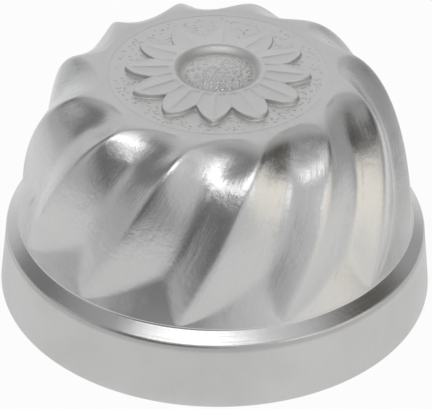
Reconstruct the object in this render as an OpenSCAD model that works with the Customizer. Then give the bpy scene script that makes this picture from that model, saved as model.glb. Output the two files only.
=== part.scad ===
/* [Sheet] */
// Thickness of the aluminium sheet
sheet = 0.8; // [0.5:0.1:1.2]
// Running clearance between two lapped sheets
lap_gap = 0.1; // [0.05:0.05:0.2]

/* [Rim band] */
// Outside diameter of the skirt, just under the ledge
rim_d = 118.4; // [90:0.2:180]
// Height of the foot of the dome above the surface the mould stands on
foot_z = 23.2; // [16:0.2:32]
// How much wider the skirt is at its lower edge, on the radius
skirt_flare = 1.8; // [0:0.1:3]
// Width of the ledge, from the skirt to the foot of the dome
ledge_w = 3.4; // [3:0.1:8]
// Fall of the ledge below level, in degrees
ledge_fall = 45; // [20:1:60]
// Radius of the rounded outer edge of the ledge
edge_r = 2.0; // [1:0.1:2.4]
// Radius of the bend between the ledge and the dome
bend_r = 0.8; // [0.3:0.1:1.2]
// Height of the upright part of the rim above the bend
lip_h = 0.1; // [0.1:0.1:1]

/* [Rolled edge] */
// Diameter of the wire in the rolled edge
wire_d = 1.6; // [1:0.1:2.4]
// How much the rolled edge is flattened underneath
flat_cut = 0.1; // [0.05:0.05:0.3]
// Width of the slit where the rolled edge stops short of the skirt
slit_w = 0.5; // [0.3:0.1:0.8]

/* [Dome] */
// Number of swirled flutes
flutes = 12; // [8:1:16]
// Height of the crown's ring above the surface the mould stands on
crown_z = 68.8; // [56:0.2:90]
// Outer diameter of the crown's plain ring
ring_d = 65; // [62:1:76]
// Depth of a flute below its ridges
flute_depth = 3.2; // [1.5:0.1:4]
// Turn of the swirl between the foot and the crown, in degrees
swirl = 31.3; // [0:0.1:45]
// How far the swirl runs ahead of an even turn, in degrees
swirl_lead = 8.3; // [0:0.1:12]
// Lean of the wall from upright at the foot, in degrees
wall_lean = 6; // [0:1:12]
// Height over which the wall stays nearly straight
wall_pull = 25; // [10:1:35]
// Slope of the crown's ring, in degrees
crown_tilt = 8.5; // [4:0.5:12]
// Width over which the shoulder rounds into the crown
crown_pull = 15; // [8:1:20]
// Height of the plain cone band that closes the flutes at the foot
cone_h = 10; // [6:1:16]

/* [Medallion] */
// Diameter of the seat that the medallion lies in
seat_d = 60; // [52:1:61]
// Width of the lap under the medallion's edge
lap_w = 2.8; // [1.5:0.1:3]
// Width of the stippled ground outside the petals
ground_w = 4.8; // [3.8:0.1:8]
// Number of petals
petals = 12; // [8:1:20]
// Depth of the notches between the petals' tips
notch_h = 7; // [2:0.1:8]
// Height of the petals' tips above the ground
petal_h = 1.3; // [0.4:0.1:1.4]
// Diameter of the round crest that the petals rise to around the eye
eye_ring_d = 24.2; // [16:0.1:28]
// Height of this crest above the ground
eye_ring_h = 1.9; // [0.6:0.1:2.4]
// Width of the sloping wall between the crest and the eye
groove_w = 2.2; // [0.8:0.1:2.5]
// Height of the domed eye above the bottom of this wall
eye_h = 2.2; // [0.8:0.1:3]

/* [Hidden] */
aluminium = "#BDBEC0";
aluminium_dark = "#A4A5A8";

// Rim: places shared by the band, the wire and the foot of the dome
rim_r = rim_d / 2;
foot_r = rim_r - ledge_w;
roll_in_r = wire_d / 2 + lap_gap / 2;
roll_r = roll_in_r + sheet;
roll_z = roll_r - flat_cut;
hem_r = rim_r + skirt_flare;
roll_c = hem_r - roll_r;

// Ledge: the centre of the bend next to the dome, the ledge's two ends and the centre of its rounded edge
along_ledge = [cos(ledge_fall), -sin(ledge_fall)];
off_ledge = [sin(ledge_fall), cos(ledge_fall)];
bend_c = [foot_r + bend_r, foot_z - lip_h];
ledge_top = bend_c - bend_r * off_ledge;
ledge_low_r = rim_r - edge_r + edge_r * sin(ledge_fall);
ledge_low = [ledge_low_r, ledge_top[1] - (ledge_low_r - ledge_top[0]) * tan(ledge_fall)];
edge_c = ledge_low - edge_r * off_ledge;

// Collar of the dome, which goes down inside the rim and is rolled under its ledge
collar_r = foot_r - sheet - lap_gap;
collar_arc = bend_r + sheet + lap_gap;
collar_turn = 90 - ledge_fall;
collar_reach = 1.5;
arc_rows = 3;

// Ridge line of the wall, from the foot to the crown's ring, as a cubic curve in [radius, height]
ring_r = ring_d / 2;
seat_r = seat_d / 2;
ridge_0 = [foot_r, foot_z];
ridge_1 = ridge_0 + wall_pull * [-sin(wall_lean), cos(wall_lean)];
ridge_3 = [ring_r, crown_z];
ridge_2 = ridge_3 + crown_pull * [cos(crown_tilt), sin(crown_tilt)];
ground_z = crown_z - (ring_r - seat_r) * tan(crown_tilt);

// Flutes: where their round heads start and end along the ridge line, and how sharp their lines are
ramp_start_ratio = 0.7;
arch_start_ratio = 0.81;
head_end_ratio = 1;
ramp_power = 2;
ridge_round_ratio = 0.045;
bottom_round_ratio = 0.16;
low_side_ratio = 0.6;
high_side_ratio = 0.5;
across_ratio = [0, 0.05, 0.15, 0.32, 0.5, 0.68, 0.85, 0.95];
field_rows = 2;
rows_out = 19;
rows_in = 13;
row_bias = 1.4;
first_ridge_angle = -100;

// Medallion: its own edge, the petals' reach and the rows of its relief
seat_gap = 0.1;
medal_r = seat_r - seat_gap;
open_r = seat_r - lap_w;
tip_r = seat_r - ground_w;
petal_edge = 0.6;
eye_r = eye_ring_d / 2 - groove_w;
groove_z = 0.2;
petal_steps = 10;
petal_sag = 0.25;
first_petal_angle = -93;

function ridge(t) = pow(1 - t, 3) * ridge_0 + 3 * pow(1 - t, 2) * t * ridge_1
    + 3 * (1 - t) * t * t * ridge_2 + pow(t, 3) * ridge_3;
function ridge_dir(t) = let (d = pow(1 - t, 2) * (ridge_1 - ridge_0)
    + 2 * (1 - t) * t * (ridge_2 - ridge_1) + t * t * (ridge_3 - ridge_2)) d / norm(d);
function inward(t) = let (d = ridge_dir(t)) [-d[1], d[0]];

function eased(x, low, high) = let (p = min(1, max(0, (x - low) / (high - low)))) p * p * (3 - 2 * p);
function rounded(x, round) = (sqrt(x * x + round * round) - round) / (sqrt(1 + round * round) - round);
function swirled(t) = swirl * t + swirl_lead * t * (1 - t);

// Place across the pitch of a flute: its bottom line leans from one side at the foot to the middle above
function around_flute(t, v) = let (
    side = low_side_ratio + (high_side_ratio - low_side_ratio) * eased(t, 0.3, 0.75))
    v < 0.5 ? v * 2 * side : 1 - (1 - v) * 2 * (1 - side);

// Depth of a flute as a part of its full depth; v is 0 on one ridge, 0.5 on the bottom line, 1 on the next
function across_flute(v) = rounded(2 * min(v, 1 - v), 2 * ridge_round_ratio);
function head_along(t) = min(1, max(0, (t - arch_start_ratio) / (head_end_ratio - arch_start_ratio)));
function head_width(t) = sqrt(max(0.0001, 1 - pow(head_along(t), 2)));
function ramp_along(t) = max(0, (t - ramp_start_ratio) / (head_end_ratio - ramp_start_ratio));
function ramp_left(t) = max(0, 1 - pow(ramp_along(t), ramp_power));
function flute_part(t, v) = let (
    from_bottom = (1 - across_flute(v)) / head_width(t),
    valley = 1 - rounded(from_bottom, bottom_round_ratio),
    bowl = 1 - pow(from_bottom, 2))
    max(0, valley + (bowl - valley) * eased(t, 0.5, 0.8)) * ramp_left(t);
function flute_point(t, v) = ridge(t) + flute_depth * flute_part(t, v) * inward(t);

// The plain cone at the foot closes the flutes; in each flute its field ends at field_top on the ridge line
function cone_r(z) = foot_r - (flute_depth + cone_h * tan(wall_lean)) * (z - foot_z) / cone_h;
function in_field(t, v) = let (p = flute_point(t, v)) p[0] < cone_r(p[1]);
function field_end(v, low, high, steps) = let (t = (low + high) / 2)
    steps == 0 ? high : in_field(t, v) ? field_end(v, t, high, steps - 1) : field_end(v, low, t, steps - 1);
field_top = [for (v = across_ratio) max(0.004, field_end(v, 0, 0.6, 12))];

// Outer side of the wall: row 0 is the foot, row field_rows is the top edge of the cone's fields
function row_t(row, rows, k) = row <= field_rows ? field_top[k] * row / field_rows
    : 1 - (1 - field_top[k]) * pow(1 - (row - field_rows) / rows, row_bias);
function field_z(row, k) = foot_z
    + (flute_point(field_top[k], across_ratio[k])[1] - foot_z) * row / field_rows;
function wall_point(t, row, k) = row < field_rows ? [cone_r(field_z(row, k)), field_z(row, k)]
    : flute_point(t, across_ratio[k]);
function wall_row(row, rows, depth) = [for (k = [0:len(across_ratio) - 1]) let (
    t = row_t(row, rows, k), p = wall_point(t, row, k) + depth * inward(t),
    turn = swirled(t) + around_flute(t, across_ratio[k]) * 360 / flutes) [p[0], p[1], turn]];
function ring_of(places) = [for (j = [0:flutes - 1]) for (p = places)
    let (a = first_ridge_angle + p[2] + j * 360 / flutes) [p[0] * cos(a), p[0] * sin(a), p[1]]];

// A plain ring of the sheet, whose points stay in line with the wall's at the crown or at the foot
function flat_ring(r, z, t) = ring_of([for (v = across_ratio)
    [r, z, swirled(t) + around_flute(t, v) * 360 / flutes]]);

module sheet_loop(rings) {
    rows = len(rings);
    cols = len(rings[0]);
    function at(i, j) = (i % rows) * cols + j % cols;
    polyhedron(points = [for (r = rings) for (p = r) p],
        faces = [for (i = [0:rows - 1]) for (j = [0:cols - 1]) for (half = [0, 1])
            half == 0 ? [at(i, j), at(i + 1, j), at(i + 1, j + 1)]
                : [at(i, j), at(i + 1, j + 1), at(i, j + 1)]],
        convexity = 10);
}

module fluted_dome() {
    under = ground_z - sheet;
    function collar_ring(radius, turn, reach) = let (a = 180 + turn,
        p = bend_c + radius * [cos(a), sin(a)] + reach * along_ledge) flat_ring(p[0], p[1], 0);
    color(aluminium) sheet_loop(concat(
        [for (i = [0:field_rows + rows_out]) ring_of(wall_row(i, rows_out, 0))],
        [flat_ring(seat_r, ground_z, 1),
         flat_ring(seat_r, under, 1),
         flat_ring(open_r, under, 1),
         flat_ring(open_r, under - sheet, 1),
         flat_ring(seat_r + sheet, under - sheet, 1),
         flat_ring(seat_r + sheet, under, 1)],
        [for (i = [rows_in - 1:-1:0]) ring_of(wall_row(field_rows + i, rows_in, sheet))],
        [flat_ring(collar_r - sheet, foot_z + sheet, 0)],
        [for (i = [0:arc_rows]) collar_ring(collar_arc + sheet, collar_turn * i / arc_rows, 0)],
        [collar_ring(collar_arc + sheet, collar_turn, collar_reach),
         collar_ring(collar_arc, collar_turn, collar_reach)],
        [for (i = [arc_rows:-1:0]) collar_ring(collar_arc, collar_turn * i / arc_rows, 0)],
        [flat_ring(collar_r, foot_z, 0)]));
}

// Petal outline: v runs from -1 to 1 across one petal, with its pointed tip at 0
function petal_reach(v) = tip_r - notch_h * pow(abs(v), 1.3);
function petal_z(f, v) = petal_h + (eye_ring_h - petal_h) * pow(1 - f, 1.5)
    - petal_sag * sin(180 * abs(v)) * sin(180 * f);
function eye_z(r) = groove_z + eye_h * (1 - pow(r / eye_r, 2));

// Relief rows of the medallion at petal position v, from the eye out to the edge, as [radius, height]
function relief(v) = let (e = eye_ring_d / 2, p = petal_reach(v)) concat(
    [for (f = [0.3, 0.6, 0.85]) [f * eye_r, eye_z(f * eye_r)]],
    [[eye_r, groove_z], [e - groove_w / 3, eye_ring_h * 0.8], [e, eye_ring_h]],
    [for (f = [0.2, 0.5, 0.8, 1]) [e + f * (p - e), petal_z(f, v)]],
    [[p + petal_edge, 0], [open_r - sheet / 4, 0], [medal_r, 0]]);

module flower_medallion() {
    cols = petals * petal_steps;
    rows = len(relief(0));
    function v_of(j) = 2 * ((j % petal_steps) / petal_steps) - 1;
    function place(p, j, z) = let (a = first_petal_angle + 360 * (j / cols - 0.5 / petals))
        [p[0] * cos(a), p[0] * sin(a), ground_z + p[1] + z];
    // The top and the underside carry the same relief, one sheet apart
    function skin(z) = concat([[0, 0, ground_z + eye_z(0) + z]],
        [for (i = [0:rows - 1]) for (j = [0:cols - 1]) place(relief(v_of(j))[i], j, z)]);
    low = 1 + rows * cols;
    function at(i, j) = 1 + i * cols + j % cols;
    top_faces = concat([for (j = [0:cols - 1]) [0, at(0, j + 1), at(0, j)]],
        [for (i = [0:rows - 2]) for (j = [0:cols - 1]) for (half = [0, 1])
            half == 0 ? [at(i, j), at(i, j + 1), at(i + 1, j + 1)]
                : [at(i, j), at(i + 1, j + 1), at(i + 1, j)]]);
    color(aluminium) polyhedron(points = concat(skin(0), skin(-sheet)),
        faces = concat(top_faces,
            [for (f = top_faces) [low + f[2], low + f[1], low + f[0]]],
            [for (j = [0:cols - 1]) for (half = [0, 1])
                let (a = at(rows - 1, j), b = at(rows - 1, j + 1))
                half == 0 ? [a, b, low + b] : [a, low + b, low + a]]),
        convexity = 10);
}

// Points along a bend of the sheet in the section plane, from one angle to another
function bend(centre, radius, from, to, steps) = [for (i = [0:steps])
    let (a = from + (to - from) * i / steps) centre + radius * [cos(a), sin(a)]];

// Its lower edge: rolled inwards from the skirt round to the slit, and flattened where it stands
function rolled(radius, from, to, steps) =
    [for (p = bend([roll_c, roll_z], radius, from, to, steps)) [p[0], max(p[1], 0)]];

module rim_band() {
    slit_turn = -360 + acos((roll_in_r - slit_w) / (roll_in_r + sheet / 2));
    color(aluminium) rotate_extrude($fn = 180)
        // Down the outer side from the foot of the dome, round the roll, and back up the inner side
        polygon(concat([[foot_r, foot_z]],
            bend(bend_c, bend_r, 180, 270 - ledge_fall, 4),
            bend(edge_c, edge_r, 90 - ledge_fall, 0, 6),
            rolled(roll_r, 0, slit_turn, 32),
            rolled(roll_in_r, slit_turn, 0, 32),
            bend(edge_c, edge_r - sheet, 0, 90 - ledge_fall, 6),
            bend(bend_c, bend_r + sheet, 270 - ledge_fall, 180, 4),
            [[foot_r - sheet, foot_z]]));
}

module rim_wire() {
    color(aluminium_dark) rotate_extrude($fn = 180)
        translate([roll_c, roll_z]) circle(d = wire_d, $fn = 32);
}

fluted_dome();
flower_medallion();
rim_band();
rim_wire();
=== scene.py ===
"""Swirled aluminium brioche mould, standing on its open side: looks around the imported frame."""
import math

import bpy
import numpy as np
from mathutils import Matrix, Vector


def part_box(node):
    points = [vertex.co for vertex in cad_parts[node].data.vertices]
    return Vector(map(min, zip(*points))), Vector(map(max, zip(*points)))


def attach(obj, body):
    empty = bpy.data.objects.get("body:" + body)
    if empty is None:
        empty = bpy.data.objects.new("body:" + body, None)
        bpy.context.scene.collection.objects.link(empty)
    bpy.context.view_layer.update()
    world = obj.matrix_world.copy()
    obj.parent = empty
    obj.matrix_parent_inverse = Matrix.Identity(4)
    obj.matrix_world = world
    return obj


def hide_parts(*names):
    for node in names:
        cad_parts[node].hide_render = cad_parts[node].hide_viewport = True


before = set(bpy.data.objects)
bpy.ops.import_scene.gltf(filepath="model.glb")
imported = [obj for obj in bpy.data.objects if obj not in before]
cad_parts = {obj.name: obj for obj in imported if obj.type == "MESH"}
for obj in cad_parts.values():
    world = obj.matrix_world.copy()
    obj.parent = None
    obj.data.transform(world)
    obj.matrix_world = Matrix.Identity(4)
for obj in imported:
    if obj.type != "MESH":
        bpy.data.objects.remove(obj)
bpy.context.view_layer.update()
MM = 0.001

# Camera. It stands in front of the mould and looks down at it from about arm's length,
# with a long lens, as a product photographer's does.
camera_elevation = math.radians(35.1)
camera_distance = 0.84
camera_roll = math.radians(1.0)
aim_height = 21.9 * MM
camera_data = bpy.data.cameras.new("camera")
camera_data.sensor_width = 36
camera_data.lens = 247.7
camera_data.shift_x = 0.0007
camera_data.shift_y = 0.0194
camera = bpy.data.objects.new("camera", camera_data)
bpy.context.scene.collection.objects.link(camera)
towards_camera = Vector((0, -math.cos(camera_elevation), math.sin(camera_elevation)))
camera.location = Vector((0, 0, aim_height)) + towards_camera * camera_distance
turn_to_aim = (-towards_camera).to_track_quat("-Z", "Y").to_matrix()
camera.rotation_euler = (turn_to_aim @ Matrix.Rotation(camera_roll, 3, "Z")).to_euler()
bpy.context.scene.camera = camera

# Rim band. A ring spun from aluminium sheet: a narrow ledge that falls away from the dome's foot, a rounded
# edge, and a plain skirt that widens to a lower edge rolled inwards around a wire. Its lip carries the dome.
sheet = 0.8 * MM
lap_gap = 0.1 * MM
rim_r = 59.2 * MM
foot_z = 23.2 * MM
ledge_w = 3.4 * MM
ledge_fall = 45
edge_r = 2.0 * MM
bend_r = 0.8 * MM
lip_h = 0.1 * MM
wire_r = 0.8 * MM
flat_cut = 0.1 * MM
roll_turn = 300
rim_segments = 288
weld_gap = 0.0005 * MM
foot_r = rim_r - ledge_w
roll_in_r = wire_r + lap_gap / 2
roll_r = roll_in_r + sheet
hem_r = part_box("rim_band")[1].x
roll_c = Vector((hem_r - roll_r, roll_r - flat_cut))


def only(piece):
    """Makes piece the one selected and active object."""
    bpy.ops.object.select_all(action="DESELECT")
    piece.select_set(True)
    bpy.context.view_layer.objects.active = piece


def arc(centre, radius, start, end, steps):
    """Points [radius, height] along an arc of a section, with its angles in degrees."""
    angles = [math.radians(start + (end - start) * i / steps) for i in range(steps + 1)]
    return [(centre[0] + radius * math.cos(a), centre[1] + radius * math.sin(a)) for a in angles]


def spin_section(name, section, segments, closed):
    """A turned piece: a circle at the section's first point, extruded and scaled from point to point."""
    bpy.ops.object.select_all(action="DESELECT")
    first = section[0]
    bpy.ops.mesh.primitive_circle_add(vertices=segments, radius=first[0], location=(0, 0, first[1]))
    piece = bpy.context.object
    piece.name = name
    bpy.ops.object.transform_apply(location=True)
    bpy.ops.object.mode_set(mode="EDIT")
    bpy.ops.mesh.select_all(action="SELECT")
    radius, height = first
    for r, z in section[1:]:
        bpy.ops.mesh.extrude_region_move(TRANSFORM_OT_translate={"value": (0, 0, z - height)})
        bpy.ops.transform.resize(value=(r / radius, r / radius, 1), center_override=(0, 0, z))
        radius, height = r, z
    if closed:
        bpy.ops.mesh.select_all(action="SELECT")
        bpy.ops.mesh.remove_doubles(threshold=weld_gap)
    bpy.ops.mesh.select_all(action="SELECT")
    bpy.ops.mesh.normals_make_consistent(inside=False)
    bpy.ops.object.mode_set(mode="OBJECT")
    return piece


fall = math.radians(ledge_fall)
bend_c = (foot_r + bend_r, foot_z - lip_h)
ledge_top = (bend_c[0] - bend_r * math.sin(fall), bend_c[1] - bend_r * math.cos(fall))
edge_top_r = rim_r - edge_r + edge_r * math.sin(fall)
edge_top_z = ledge_top[1] - (edge_top_r - ledge_top[0]) * math.tan(fall)
edge_c = (rim_r - edge_r, edge_top_z - edge_r * math.cos(fall))
outer_roll = [(r, max(z, 0)) for r, z in arc(roll_c, roll_r, 0, -roll_turn, 40)]
outer_skin = ([(foot_r, foot_z)]
              + arc(bend_c, bend_r, 180, 270 - ledge_fall, 6)
              + arc(edge_c, edge_r, 90 - ledge_fall, 0, 10)
              + [(rim_r + (hem_r - rim_r) * f, edge_c[1] + (roll_c.y - edge_c[1]) * f)
                 for f in (0.3, 0.6, 0.9)]
              + outer_roll)
inner_skin = (arc(roll_c, roll_in_r, -roll_turn, 0, 32)
              + [(hem_r - sheet + (rim_r - hem_r) * f, roll_c.y + (edge_c[1] - roll_c.y) * f)
                 for f in (0.1, 0.5, 0.97)]
              + arc(edge_c, edge_r - sheet, 0, 90 - ledge_fall, 8)
              + arc(bend_c, bend_r + sheet, 270 - ledge_fall, 180, 8)
              + [(foot_r - sheet, foot_z), (foot_r, foot_z)])
rim_band = spin_section("rim_band_spun", outer_skin + inner_skin, rim_segments, closed=True)
only(rim_band)
bpy.ops.object.shade_smooth_by_angle(angle=math.radians(40))


class Socket:
    """A shader socket that can be used in sums: each operator adds the Math node that it stands for."""

    def __init__(self, nodes, output):
        self.nodes = nodes
        self.output = output

    def math(self, operation, other, swapped=False):
        """A Math node on this socket and another, or a number."""
        first, second = (other, self) if swapped else (self, other)
        return self.nodes.add("ShaderNodeMath", {"operation": operation}, {0: first, 1: second})

    def __add__(self, other):
        return self.math("ADD", other)

    def __radd__(self, other):
        return self.math("ADD", other, True)

    def __sub__(self, other):
        return self.math("SUBTRACT", other)

    def __rsub__(self, other):
        return self.math("SUBTRACT", other, True)

    def __mul__(self, other):
        return self.math("MULTIPLY", other)

    def __rmul__(self, other):
        return self.math("MULTIPLY", other, True)

    def __truediv__(self, other):
        return self.math("DIVIDE", other)

    def __pow__(self, other):
        return self.math("POWER", other)

    def between(self, low, high):
        """0 at low, 1 at high, smooth from one to the other."""
        return self.nodes.add("ShaderNodeMapRange", {"interpolation_type": "SMOOTHSTEP"},
                              {"Value": self, "From Min": low, "From Max": high})


class Nodes:
    """A node tree that is built up from Python expressions."""

    def __init__(self, tree):
        self.tree = tree

    def add(self, kind, settings, inputs, out=0):
        """Adds a node: its settings are set first, then the values or links of its sockets."""
        made = self.tree.nodes.new(kind)
        for key, value in settings.items():
            setattr(made, key, value)
        self.feed(made, inputs)
        return Socket(self, made.outputs[out])

    def feed(self, made, inputs):
        for key, value in inputs.items():
            if isinstance(value, Socket):
                self.tree.links.new(value.output, made.inputs[key])
            else:
                made.inputs[key].default_value = value

    def place(self, stretch=(1, 1, 1)):
        """Object coordinates in millimetres, stretched along an axis where a pattern runs long."""
        where = self.add("ShaderNodeTexCoord", {}, {}, "Object")
        return self.add("ShaderNodeMapping", {}, {"Vector": where, "Scale": tuple(s / MM for s in stretch)})

    def noise(self, where, scale, detail=2, roughness=0.5):
        return self.add("ShaderNodeTexNoise", {},
                        {"Vector": where, "Scale": scale, "Detail": detail, "Roughness": roughness}, "Fac")

    def color(self, factor, first, second):
        """A colour that runs from the first to the second with the factor. The Mix node's colours are its
        inputs 6 and 7 and its output 2."""
        return self.add("ShaderNodeMix", {"data_type": "RGBA"}, {"Factor": factor, 6: first, 7: second}, 2)

    def axis(self, where, name):
        return self.add("ShaderNodeSeparateXYZ", {}, {"Vector": where}, name)

    def point(self, x, y, z):
        return self.add("ShaderNodeCombineXYZ", {}, {"X": x, "Y": y, "Z": z})

    def bump(self, height, distance, under=None):
        """A bump whose full height is distance, in millimetres."""
        inputs = {"Height": height, "Distance": distance * MM, "Strength": 1.0}
        if under is not None:
            inputs["Normal"] = under
        return self.add("ShaderNodeBump", {}, inputs)


def aluminium(name, tint):
    """A metal material in the tint given, with its nodes and its shader."""
    material = bpy.data.materials.new(name)
    material.use_nodes = True
    shader = material.node_tree.nodes["Principled BSDF"]
    shader.inputs["Metallic"].default_value = 1.0
    shader.inputs["Base Color"].default_value = (*tint, 1)
    return material, Nodes(material.node_tree), shader


sheet_tint = (0.56, 0.56, 0.556)
# The colour of the darker band around the ledge's edge
edge_band_tint = (0.30, 0.292, 0.28)


def rim_finish():
    """Satin skirt with faint upright streaks, under a bright ledge that keeps its turning marks. The sheet's
    colour is darker in a band around the ledge's edge. Heights are in millimetres."""
    material, nodes, shader = aluminium("rim_aluminium", sheet_tint)
    where = nodes.place()
    x, y, height = (nodes.axis(where, name) for name in "XYZ")
    radius = (x * x + y * y) ** 0.5
    on_ledge = height.between(18.6, 19.6)
    at_edge = height.between(17.2, 18.5) * (1 - height.between(19.0, 20.2))
    turned = nodes.noise(nodes.point(radius * 5, height * 5, 0.0), 1.0, 4, 0.7)
    streaks = nodes.noise(nodes.place((0.9, 0.9, 0.03)), 1.0, 4, 0.6)
    soft = nodes.noise(where, 0.06, 3)
    grain = nodes.noise(where, 0.8, 5, 0.72)
    scuffs = nodes.noise(nodes.place((0.5, 0.5, 0.16)), 1.0, 5, 0.7).between(0.58, 0.75)
    # The colour is darker in a band around the ledge's edge, and in random scuffs and patches
    darkening = at_edge * 0.45 + scuffs * 0.12 + soft.between(0.35, 0.75) * 0.10
    rough_skirt = 0.32 + streaks * 0.10 + soft * 0.10
    rough_ledge = 0.15 + turned * 0.14
    grooves = nodes.bump(turned * on_ledge, 0.035)
    pitted = nodes.bump(grain, 0.035, grooves)
    nodes.feed(shader, {"Base Color": nodes.color(darkening, (*sheet_tint, 1), (*edge_band_tint, 1)),
                        "Roughness": rough_skirt + (rough_ledge - rough_skirt) * on_ledge,
                        "Normal": nodes.bump(streaks, 0.010, pitted)})
    return material


rim_band.data.materials.append(rim_finish())
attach(rim_band, "root")
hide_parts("rim_band")

# Rim wire. A round aluminium wire that the lower edge is rolled around; only its inner side can be seen,
# through the slit where the roll stops short of the skirt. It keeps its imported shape.
wire_tint = (0.52, 0.52, 0.53)
wire_material, nodes, shader = aluminium("wire_aluminium", wire_tint)
drawn_lines = nodes.noise(nodes.place((0.2, 0.2, 4)), 1.0, 3)
nodes.feed(shader, {"Roughness": 0.35 + drawn_lines * 0.2, "Normal": nodes.bump(drawn_lines, 0.01)})
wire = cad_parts["rim_wire"]
wire.data.materials.clear()
wire.data.materials.append(wire_material)

# Fluted dome. One aluminium sheet, spun to a blank on a lathe and then pressed into swirled flutes with round
# heads. Its foot sits on the rim's lip, its collar is rolled outwards under the ledge, and the seat in its
# crown is joggled down to hold the medallion.
flutes = 12
crown_z = 68.8 * MM
ring_r = 32.5 * MM
seat_r = 30 * MM
lap_w = 2.8 * MM
flute_depth = 3.2 * MM
swirl = math.radians(31.3)
swirl_lead = math.radians(8.3)
wall_lean = math.radians(6)
wall_pull = 25 * MM
crown_tilt = math.radians(8.5)
crown_pull = 15 * MM
cone_h = 10 * MM
first_ridge = math.radians(-100)
ramp_start, arch_start, head_end = 0.70, 0.81, 1.0
ramp_power = 2.0
bowl_start, bowl_end = 0.5, 0.8
crown_flat = 0.97
ridge_round = 0.045
valley_round = 0.16
wall_soft, head_soft, ramp_soft = 0.03, 0.35, 0.14
least_width = 0.01
low_side, high_side = 0.6, 0.5
side_start, side_end = 0.3, 0.75
seat_lift = 0.2 * MM
seat_corner = 0.1 * MM
seam_lap = 0.01 * MM
# Painted light: a lighter copy of the sheet's colour for the crown and the medallion on top
painted_light_tint = (0.68, 0.678, 0.67)
stain_tint = (0.40, 0.385, 0.36)
ground_z = crown_z - (ring_r - seat_r) * math.tan(crown_tilt)
seat_z = ground_z + seat_lift

ridge_points = np.array([
    [foot_r, foot_z],
    [foot_r - wall_pull * math.sin(wall_lean), foot_z + wall_pull * math.cos(wall_lean)],
    [ring_r + crown_pull * math.cos(crown_tilt), crown_z + crown_pull * math.sin(crown_tilt)],
    [ring_r, crown_z]])


def smooth_step(value, low, high):
    """0 at low, 1 at high, smooth from one to the other."""
    part = np.clip((value - low) / (high - low), 0, 1)
    return part * part * (3 - 2 * part)


def ridge_line(t):
    """Radius and height of the ridges at t, from 0 at the foot to 1 at the crown's ring."""
    t = np.asarray(t)[..., None]
    weights = [(1 - t) ** 3, 3 * t * (1 - t) ** 2, 3 * t ** 2 * (1 - t), t ** 3]
    return sum(w * p for w, p in zip(weights, ridge_points))


def ridge_inward(t):
    """Direction into the dome, square to the ridge line."""
    t = np.asarray(t)[..., None]
    steps = np.diff(ridge_points, axis=0)
    along = (1 - t) ** 2 * steps[0] + 2 * t * (1 - t) * steps[1] + t ** 2 * steps[2]
    along /= np.linalg.norm(along, axis=-1, keepdims=True)
    return np.stack([-along[..., 1], along[..., 0]], axis=-1)


def swirled(t):
    """Turn of the flutes at t, which runs a little ahead of the height in the lower half."""
    return swirl * t + swirl_lead * t * (1 - t)


def around_flute(t, v):
    """Place across a flute's pitch: the bottom line lies to one side at the foot, and in the middle above."""
    side = low_side + (high_side - low_side) * smooth_step(t, side_start, side_end)
    return np.where(v < 0.5, v * 2 * side, 1 - (1 - v) * 2 * (1 - side))


def flute_profile(t, v):
    """Depth of a flute at t, as a part of its full depth; v runs from 0 on one ridge to 1 on the next."""
    side = np.minimum(v, 1 - v)
    across = ((np.sqrt(side ** 2 + ridge_round ** 2) - ridge_round)
              / (math.sqrt(0.5 ** 2 + ridge_round ** 2) - ridge_round))
    arch = np.clip((t - arch_start) / (head_end - arch_start), 0, 1)
    width = np.sqrt(np.maximum(1 - arch ** 2, least_width ** 2))
    from_bottom = (1 - across) / width
    valley = 1 - ((np.sqrt(from_bottom ** 2 + valley_round ** 2) - valley_round)
                  / (math.sqrt(1 + valley_round ** 2) - valley_round))
    bowl = 1 - from_bottom ** 2
    bowl_part = smooth_step(t, bowl_start, bowl_end)
    rise = valley + (bowl - valley) * bowl_part
    softness = wall_soft + head_soft * arch ** 2
    rise = (rise + np.sqrt(rise ** 2 + softness ** 2)) / 2
    ramp = np.maximum((t - ramp_start) / (head_end - ramp_start), 0)
    left = 1 - ramp ** ramp_power
    left = (left + np.sqrt(left ** 2 + ramp_soft ** 2)) / 2 * (1 - smooth_step(t, crown_flat, 1))
    return rise * left


def cone_radius(z):
    """The plain cone at the foot, which closes the flutes in round-topped fields."""
    return foot_r - (flute_depth + cone_h * math.tan(wall_lean)) * (z - foot_z) / cone_h


def fluted(t, v):
    """Radius and height of the wall's outer side at t and v."""
    place = ridge_line(t) + (flute_depth * flute_profile(t, v))[..., None] * ridge_inward(t)
    return place[..., 0], place[..., 1]


# Columns are close together at the ridges, and one row of faces follows the top edge of each cone field
columns, field_rows, wall_rows = 28, 14, 84
ridge_crowding, head_crowding = 1.6, 1.25
lowest_top, highest_top, search_steps = 0.004, 0.6, 2400
half = 0.5 * (np.arange(columns // 2) / (columns // 2)) ** ridge_crowding
v_of = np.concatenate([half, [0.5], 1 - half[:0:-1]])
fine = np.linspace(0, highest_top, search_steps + 1)
field_top = []
for v in v_of:
    r, z = fluted(fine, np.full_like(fine, v))
    under_cone = np.nonzero(r < cone_radius(z))[0]
    field_top.append(fine[under_cone[-1]] if len(under_cone) else 0)
field_top = np.maximum(np.array(field_top), lowest_top)
fade = np.linspace(0, 1, wall_rows + 1)[1:]
t_rows = np.concatenate([np.outer(np.linspace(0, 1, field_rows + 1), field_top),
                         field_top + np.outer(1 - (1 - fade) ** head_crowding, 1 - field_top)])
skin_rows = len(t_rows)

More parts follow.
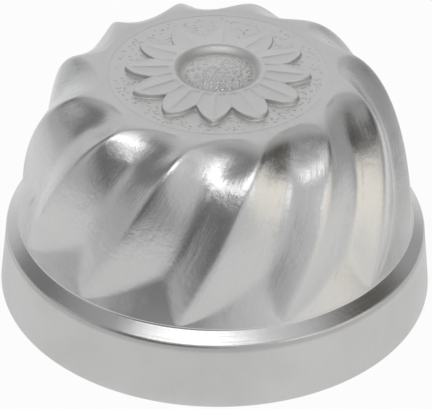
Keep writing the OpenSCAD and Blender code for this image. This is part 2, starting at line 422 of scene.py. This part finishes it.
# The blank: the sheet's section, spun. The wall's rows come first, then the seat, the wall's inner side
# and the collar.
collar_r = foot_r - sheet - lap_gap
collar_arc = bend_r + sheet + lap_gap
collar_reach = 1.5 * MM
early_fall = 0.45
seat_under = seat_z - sheet
plain_rows = np.linspace(0, 1, skin_rows)
blank_out = [tuple(p) for p in ridge_line(plain_rows)]
blank_in = [tuple(p) for p in (ridge_line(plain_rows) + sheet * ridge_inward(plain_rows))[::-1]]
ring_rows = [(ring_r - (ring_r - seat_r) * f,
              crown_z - (crown_z - seat_z) * ((1 + early_fall) * f - early_fall * f * f))
             for f in (0.25, 0.5, 0.75)]
joggled_seat = ring_rows + [
    (seat_r + seam_lap, seat_z), (seat_r, seat_z - seam_lap),
    (seat_r, seat_under + seat_corner), (seat_r - seat_corner, seat_under),
    (seat_r - lap_w, seat_under), (seat_r - lap_w, seat_under - sheet),
    (seat_r + sheet, seat_under - sheet), (seat_r + sheet, seat_under)]
collar_under = arc(bend_c, collar_arc + sheet, 180, 270 - ledge_fall, 6)
collar_top = arc(bend_c, collar_arc, 270 - ledge_fall, 180, 6)
collar_end = [(r + collar_reach * math.cos(fall), z - collar_reach * math.sin(fall))
              for r, z in (collar_under[-1], collar_top[0])]
collar = collar_under + collar_end + collar_top + [(collar_r, foot_z), blank_out[0]]
dome = spin_section("fluted_dome_pressed", blank_out + joggled_seat + blank_in + collar,
                    flutes * columns, closed=False)

# The press: each point of the blank's wall moves to its place on the fluted wall
count = flutes * columns
points = np.empty(len(dome.data.vertices) * 3)
dome.data.vertices.foreach_get("co", points)
points = points.reshape(-1, count, 3)
blank_places = points.reshape(-1, 3).copy()
blank_turn = np.arctan2(points[0, :, 1], points[0, :, 0])
column_of = np.round((blank_turn % (2 * math.pi)) / (2 * math.pi) * count).astype(int) % count
v_all = v_of[column_of % columns]
t_all = t_rows[:, column_of % columns]
turn_all = first_ridge + (column_of // columns + around_flute(t_all, v_all)) * 2 * math.pi / flutes
r_all, z_all = fluted(t_all, np.broadcast_to(v_all, t_all.shape))
up_the_field = np.linspace(0, 1, field_rows + 1)[:-1, None]
z_all[:field_rows] = foot_z + (z_all[field_rows] - foot_z) * up_the_field
r_all[:field_rows] = cone_radius(z_all[:field_rows])
low = z_all < foot_z + 2 * cone_h
r_all[low] = np.maximum(r_all, cone_radius(z_all))[low]
angle_all = turn_all + swirled(t_all)
outer = np.stack([r_all * np.cos(angle_all), r_all * np.sin(angle_all), z_all], axis=-1)
order = np.argsort(column_of)
ring = outer[:, order]
along = np.gradient(ring, axis=0)
around = np.roll(ring, -1, axis=1) - np.roll(ring, 1, axis=1)
normal = np.cross(around, along)
normal /= np.linalg.norm(normal, axis=-1, keepdims=True)
inner = np.empty_like(outer)
inner[:, order] = ring - sheet * normal

# Near the foot the inner side steps in to the collar
step_h = 4 * MM
in_step = np.clip((inner[..., 2] - foot_z) / step_h, 0, 1)
inner_r = np.linalg.norm(inner[..., :2], axis=-1)
stepped_r = inner_r - (1 - in_step) * (sheet + lap_gap)
inner[..., :2] *= (stepped_r / inner_r)[..., None]
inner[..., 2] = np.where(in_step < 1, foot_z + sheet + in_step * (step_h - sheet), inner[..., 2])
first_in = skin_rows + len(joggled_seat)
first_collar = first_in + skin_rows
points[:skin_rows] = outer
points[first_in:first_collar] = inner[::-1]


def turned_rows(rows, turn):
    """Turns plain rows of the section so that their points stay in line with the pressed wall."""
    radius = np.linalg.norm(rows[..., :2], axis=-1)
    rows[..., 0] = radius * np.cos(turn)
    rows[..., 1] = radius * np.sin(turn)


turned_rows(points[skin_rows:first_in], angle_all[-1])
turned_rows(points[first_collar:], angle_all[0])

# The press leaves no hard edge where the flutes run out on the plain cone: the wall's rows there are eased,
# all but a strip just above the foot
eased_rows, easing_passes, easing_share = 4, 12, 0.5
held_h, free_h = 0.8 * MM, 1 * MM
eased = slice(field_rows - eased_rows, field_rows + eased_rows + 1)
for skin in (points[:skin_rows], points[first_in:first_collar][::-1]):
    free = np.clip((skin[eased, :, 2] - foot_z - held_h) / free_h, 0, 1)[..., None]
    for _ in range(easing_passes):
        before, after = (skin[eased.start + step:eased.stop + step] for step in (-1, 1))
        skin[eased] += free * ((before + after) / 2 - skin[eased]) * easing_share
dome.data.vertices.foreach_set("co", points.ravel())

# The finish reads where on the spun blank each point came from
dome.data.attributes.new("blank", "FLOAT_VECTOR", "POINT").data.foreach_set("vector", blank_places.ravel())
only(dome)
bpy.ops.object.mode_set(mode="EDIT")
bpy.ops.mesh.select_all(action="SELECT")
bpy.ops.mesh.remove_doubles(threshold=weld_gap)
bpy.ops.mesh.normals_make_consistent(inside=False)
bpy.ops.object.mode_set(mode="OBJECT")
bpy.ops.object.shade_smooth_by_angle(angle=math.radians(50))


def dome_finish():
    """Bright in the flutes and on their ridges, satin on the crown and near the foot. The sheet is a little
    wavy from the press, with turning marks, fine grain and scratches from use. Lengths are in millimetres."""
    material, nodes, shader = aluminium("dome_aluminium", sheet_tint)
    where = nodes.place()
    height = nodes.axis(where, "Z")
    blank = nodes.add("ShaderNodeAttribute", {"attribute_name": "blank"}, {}, "Vector")
    around, across, pressed_from = (nodes.axis(blank, name) * (1 / MM) for name in "XYZ")
    off_axis = (around * around + across * across) ** 0.5
    soft = nodes.noise(where, 0.07, 3)
    waves = nodes.noise(where, 0.15, 2, 0.4)
    grain = nodes.noise(where, 0.75, 5, 0.72)
    turning = nodes.noise(nodes.point(pressed_from * 1.6, soft * 3.0, 0.0), 1.0, 4, 0.7)
    lines_around = 48
    drawn = nodes.noise(nodes.point(around / off_axis * lines_around, across / off_axis * lines_around,
                                    pressed_from * 0.10), 1.0, 5, 0.72)
    scratches = drawn.between(0.56, 0.70)
    crown = height.between(66.5, 68.5)
    foot = 1 - height.between(27, 50)
    satin = crown + foot * 0.5 * (1 - crown)
    rough = 0.12 + soft * 0.12 + scratches * 0.14 + satin * 0.26
    stains = nodes.noise(where, 0.11, 4, 0.65).between(0.55, 0.8) * 0.3 + scratches * 0.12
    # Painted light: the crown gets the lighter colour
    crown_painted_lighter = nodes.color(crown, (*sheet_tint, 1), (*painted_light_tint, 1))
    wavy = nodes.bump(waves, 0.16)
    turned = nodes.bump(turning, 0.014, wavy)
    brushed = nodes.bump(drawn, 0.055, turned)
    nodes.feed(shader, {"Base Color": nodes.color(stains * (1 - crown * 0.5), crown_painted_lighter, (*stain_tint, 1)),
                        "Roughness": rough + grain * 0.08, "Normal": nodes.bump(grain, 0.06, brushed)})
    return material


dome.data.materials.append(dome_finish())
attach(dome, "root")
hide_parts("fluted_dome")

# Medallion. A disc of aluminium sheet stamped with a daisy, which lies in the crown's seat: a pebbled domed
# eye in a round hollow, twelve pointed petals with a rib along the middle of each, and punched dots around.
petals = 12
notch_h = 7.0 * MM
petal_h = 1.3 * MM
ground_w = 4.8 * MM
eye_ring_r = 12.1 * MM
eye_ring_h = 1.9 * MM
groove_w = 2.2 * MM
groove_z = 0.2 * MM
eye_h = 2.2 * MM
middle_r = 0.4 * MM
crest_w = 0.4 * MM
petal_sag = 0.25 * MM
petal_edge = 0.6 * MM
petal_round = np.array([1.3, 2.1, 2.1, 1.5, 1.7, 1.6, 1.8, 1.6, 1.7, 1.8, 1.5, 1.5])
rib_h, rib_w = 0.14 * MM, 0.07
cut_h, cut_w = 0.2 * MM, 0.06
far_wear = 0.6
first_petal = math.radians(-93)
lift_start = 23 * MM
dots_fade, plain_edge = 1.8 * MM, 0.8 * MM
# Painted shade: where the darkening of the eye's hollow lies, and how wide it is
painted_shade_shift, painted_shade_w = 0.3 * MM, 1.3 * MM
pebbles_fade = 0.8 * MM
# Painted shade: the colour that the petals' walls, the cuts and the eye's hollow are darkened towards
painted_shade_tint = (0.36, 0.345, 0.32)
medal_r = seat_r + seam_lap
tip_r = seat_r - ground_w
eye_r = eye_ring_r - groove_w
crest_r = eye_ring_r + crest_w
petal_columns = 36
blank_r = np.concatenate([np.linspace(middle_r, eye_r, 18), np.linspace(eye_r, crest_r, 16)[1:],
                          np.linspace(crest_r, tip_r, 30)[1:], np.linspace(tip_r, tip_r + petal_edge, 7)[1:],
                          np.linspace(tip_r + petal_edge, medal_r, 14)[1:]])
medallion = spin_section("flower_medallion_stamped", [(r, ground_z) for r in blank_r],
                         petals * petal_columns, closed=False)
only(medallion)
bpy.ops.object.mode_set(mode="EDIT")
bpy.ops.mesh.select_all(action="DESELECT")
bpy.ops.object.mode_set(mode="OBJECT")
middle = [v.index for v in medallion.data.vertices if math.hypot(v.co.x, v.co.y) < blank_r[0] * 1.01]
for index in middle:
    medallion.data.vertices[index].select = True
bpy.ops.object.mode_set(mode="EDIT")
bpy.ops.mesh.edge_face_add()
bpy.ops.mesh.poke()
bpy.ops.mesh.select_all(action="SELECT")
bpy.ops.mesh.normals_make_consistent(inside=False)
bpy.ops.object.mode_set(mode="OBJECT")


def near(value, middle, reach):
    """1 at the middle, falling to 0 on both sides over about reach."""
    return np.exp(-((value - middle) / reach) ** 2)


def stamped(x, y):
    """For a place on the flat blank: how much further out the stamp moves it, its height above the ground,
    how much painted shade it gets in a wall, a cut or the eye's hollow, and how far it is on the eye
    and on the ground."""
    radius = np.maximum(np.hypot(x, y), 1e-9)
    turn = np.arctan2(y, x) - first_petal
    v = ((turn * petals / (2 * math.pi) + 0.5) % 1 - 0.5) * 2
    roundness = petal_round[np.floor(turn * petals / (2 * math.pi) + 0.5).astype(int) % petals]
    outline = tip_r - notch_h * np.abs(v) ** roundness
    # The petals away from the front are worn lower
    worn = far_wear * smooth_step(y / radius, 0.0, 0.9)
    tip_h = petal_h * (1 - worn)
    # The rows between the crest and the petals' edge are drawn to the petals' outline
    petal_part = np.clip((radius - crest_r) / (tip_r - crest_r), 0, 1)
    edge_part = np.clip((radius - tip_r) / petal_edge, 0, 1)
    ground_part = np.clip((radius - tip_r - petal_edge) / (medal_r - tip_r - petal_edge), 0, 1)
    new_r = np.where(radius <= crest_r, radius, crest_r + petal_part * (outline - crest_r))
    new_r = np.where(radius > tip_r, outline + edge_part * petal_edge
                     + ground_part * (medal_r - outline - petal_edge), new_r)
    eye = groove_z + eye_h * (1 - (radius / eye_r) ** 2)
    wall = groove_z + (eye_ring_h - groove_z) * smooth_step(radius, eye_r, crest_r) ** 0.9
    inside = np.maximum(eye, wall)
    middle_part = smooth_step(petal_part, 0.0, 0.12) * (1 - smooth_step(petal_part, 0.8, 1))
    lobes = -petal_sag * np.sin(math.pi * np.abs(v)) ** 0.8 * middle_part
    ribs = rib_h * (near(np.abs(v), 0, rib_w) + near(np.abs(v), 1, rib_w)) * middle_part
    cut = near(np.abs(v), 1, cut_w) * smooth_step(petal_part, 0.7, 1)
    petal = tip_h + (eye_ring_h - tip_h) * (1 - petal_part) ** 1.5 + lobes + ribs - cut_h * cut
    height = np.where(radius < crest_r, inside, petal)
    height = np.where(radius > tip_r, (tip_h - cut_h * cut) * (1 - smooth_step(edge_part, 0, 1)), height)
    # Painted shade: darker in the petals' edge walls and the cuts, less on the lower back petals, and in the
    # eye's hollow
    painted_shade = np.where(radius > tip_r, near(edge_part, 0.5, 0.35) * (edge_part < 1), cut * 0.6) * (1 - worn)
    painted_shade = np.where(radius < crest_r, near(radius, eye_r + painted_shade_shift, painted_shade_w) * 0.8, painted_shade)
    on_eye = 1 - smooth_step(radius, eye_r - pebbles_fade, eye_r)
    # The ground rises to the seat's edge
    height = height + seat_lift * np.clip((new_r - lift_start) / (medal_r - lift_start), 0, 1) ** 2
    on_ground = smooth_step(ground_part, 0.0, 0.05) * (
        1 - smooth_step(new_r, medal_r - dots_fade, medal_r - plain_edge))
    return new_r / radius, height, painted_shade, on_eye, on_ground


flat = np.empty(len(medallion.data.vertices) * 3)
medallion.data.vertices.foreach_get("co", flat)
flat = flat.reshape(-1, 3)
scale_r, height, painted_shade, on_eye, on_ground = stamped(flat[:, 0], flat[:, 1])
flat[:, 0] *= scale_r
flat[:, 1] *= scale_r
flat[:, 2] = ground_z + height
medallion.data.vertices.foreach_set("co", flat.ravel())
for name, values in (("painted_shade", painted_shade), ("on_eye", on_eye), ("on_ground", on_ground)):
    medallion.data.attributes.new(name, "FLOAT", "POINT").data.foreach_set("value", values)
medallion.data.update()
only(medallion)
wall = medallion.modifiers.new("sheet", "SOLIDIFY")
wall.thickness = sheet
wall.offset = -1
bpy.ops.object.modifier_apply(modifier="sheet")
bpy.ops.object.shade_smooth_by_angle(angle=math.radians(60))


def medallion_finish():
    """Satin in a lighter colour that is painted light, with painted shade in the walls, the cuts and the
    eye's hollow, and with the pebbles of the eye and the punched dots.
    """
    material, nodes, shader = aluminium("medallion_aluminium", sheet_tint)
    where = nodes.place()
    painted_shade_part, eye_part, ground = (nodes.add("ShaderNodeAttribute", {"attribute_name": name}, {}, "Fac")
                                   for name in ("painted_shade", "on_eye", "on_ground"))
    fine_grain = nodes.noise(where, 0.8, 5, 0.72)
    patches = nodes.noise(where, 0.16, 2)
    dots = nodes.add("ShaderNodeTexVoronoi", {}, {"Vector": where, "Scale": 0.85}, "Distance")
    punched = (1 - dots.between(0.12, 0.36)) * ground * patches.between(0.36, 0.50)
    stipple = nodes.bump(1 - punched, 0.35)
    pebbled = nodes.bump((1 - dots.between(0.1, 0.75)) * eye_part, 0.3, stipple)
    # Painted shade darkens the colour in the walls, the cuts and the eye's hollow
    tint = nodes.color(painted_shade_part.between(0.2, 1) * 0.4, (*painted_light_tint, 1), (*painted_shade_tint, 1))
    nodes.feed(shader, {"Base Color": tint, "Roughness": 0.42 + fine_grain * 0.08 + painted_shade_part * 0.1,
                        "Normal": nodes.bump(fine_grain, 0.06, pebbled)})
    return material


medallion.data.materials.append(medallion_finish())
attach(medallion, "root")
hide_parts("flower_medallion")

# Floor. A plain pale table top that keeps the mould's shadow. To the camera and in the metal it is nearly
# white.
floor_r = 0.18
own_white = 0.94
bpy.ops.object.select_all(action="DESELECT")
bpy.ops.mesh.primitive_circle_add(vertices=96, radius=floor_r, fill_type="NGON", location=(0, 0, 0))
table = bpy.context.object
table.name = "table_top"
table_material = bpy.data.materials.new("table_white")
table_material.use_nodes = True
nodes = Nodes(table_material.node_tree)
shader = table_material.node_tree.nodes["Principled BSDF"]
shader.inputs["Base Color"].default_value = (0.92, 0.92, 0.92, 1)
shader.inputs["Roughness"].default_value = 0.9
rays = {name: nodes.add("ShaderNodeLightPath", {}, {}, name)
        for name in ("Is Camera Ray", "Is Glossy Ray", "Is Transmission Ray")}
seen = rays["Is Camera Ray"] + rays["Is Glossy Ray"] + rays["Is Transmission Ray"]
white = nodes.add("ShaderNodeEmission", {}, {"Color": (1, 1, 1, 1), "Strength": 1.0})
mixed = nodes.add("ShaderNodeMixShader", {},
                  {"Fac": seen * own_white, 1: Socket(nodes, shader.outputs[0]), 2: white})
nodes.feed(table_material.node_tree.nodes["Material Output"], {"Surface": mixed})
table.data.materials.append(table_material)

# Light. A pale room, darker in front, where the photographer stands, with brighter and darker things around,
# and one wide lamp high in front of the mould.
world = bpy.data.worlds.new("studio")
bpy.context.scene.world = world
world.use_nodes = True
nodes = Nodes(world.node_tree)
way = nodes.add("ShaderNodeTexCoord", {}, {}, "Generated")
camera_ray = nodes.add("ShaderNodeLightPath", {}, {}, "Is Camera Ray")
across, back, up = (nodes.axis(way, name) for name in "XYZ")
level = (across * across + back * back) ** 0.5
rise = nodes.add("ShaderNodeMath", {"operation": "ARCTAN2"}, {0: up, 1: level}) * math.degrees(1)


def beside(turn, core, edge):
    """1 within core degrees to each side of a compass direction in the room, fading to 0 at edge degrees."""
    turn = math.radians(turn)
    along = (across * math.cos(turn) + back * math.sin(turn)) / level
    return along.between(math.cos(math.radians(edge)), math.cos(math.radians(core)))


def heights(low, full, fade, high):
    """1 from full to fade degrees above the horizon, and 0 below low and above high."""
    return rise.between(low, full) * (1 - rise.between(fade, high))


def paint(room, part, light):
    """The room's light, with another light over part of it."""
    return room + (light - room) * part


room_light, table_light = 0.50, 0.34
# Things in the room: compass direction, degrees to each side of it at which each is full and gone, degrees
# above the horizon at which it starts, is full, fades and ends, and its light
things = [
    (105, 38, 60, -20, -12, 58, 70, 0.80),
    (100, 14, 34, -18, -12, 2, 12, 0.98),
    (168, 14, 28, -2, 6, 60, 72, 0.28),
    (178, 14, 24, -14, -8, 1, 7, 0.66),
    (-171, 5, 9, 8, 13, 18, 24, 1.4),
    (-160, 10, 18, -20, -10, 24, 36, 0.64),
    (-58, 24, 34, -20, -12, 26, 40, 0.82),
    (-56, 24, 38, 26, 38, 50, 58, 0.70),
    (-54, 16, 30, 41, 44, 50, 55, 1.15),
    (-120, 13, 24, -18, -10, 26, 34, 0.17),
    (-104, 10, 18, 0, 8, 22, 30, 0.28),
    (-96, 10, 18, -20, -14, -8, 0, 0.42),
    (-130, 12, 20, 20, 26, 35, 41, 0.20),
    (-115, 3, 6, 25, 28, 33, 37, 1.5),
    (-46, 5, 10, 6, 10, 20, 26, 2.0),
    (32, 12, 26, 4, 14, 62, 74, 0.50),
]
room = room_light + table_light * (1 - rise.between(-16, -8))
for turn, core, edge, low, full, fade, high, light in things:
    room = paint(room, beside(turn, core, edge) * heights(low, full, fade, high), light)
brown = beside(4, 13, 23) * heights(10, 20, 46, 56)
warm = beside(-20, 12, 20) * heights(-20, -12, 13, 20)
room = paint(paint(room, brown, 0.12), warm, 1.3)
ceiling = beside(-80, 16, 36) * heights(50, 56, 70, 80)
room = paint(paint(room, rise.between(62, 74), 0.32), ceiling, 0.85)
cool_light, brown_light, warm_light = (0.985, 0.99, 1.0, 1), (1.0, 0.93, 0.84, 1), (1.0, 0.955, 0.875, 1)
glow = nodes.color(warm, nodes.color(brown, cool_light, brown_light), warm_light)
strength = room * (1 - camera_ray) + camera_ray
white_to_camera = nodes.color(camera_ray, glow, (1, 1, 1, 1))
nodes.feed(world.node_tree.nodes["Background"], {"Color": white_to_camera, "Strength": strength})

lamp_data = bpy.data.lights.new("front_lamp", "AREA")
lamp_data.shape = "ELLIPSE"
lamp_data.size = 0.95
lamp_data.size_y = 0.40
lamp_data.energy = 2.0
lamp = bpy.data.objects.new("front_lamp", lamp_data)
lamp.location = (-0.181, -0.676, 0.849)
lamp.rotation_euler = (-lamp.location).to_track_quat("-Z", "Y").to_euler()
bpy.context.scene.collection.objects.link(lamp)

bpy.context.scene.view_settings.view_transform = "Standard"
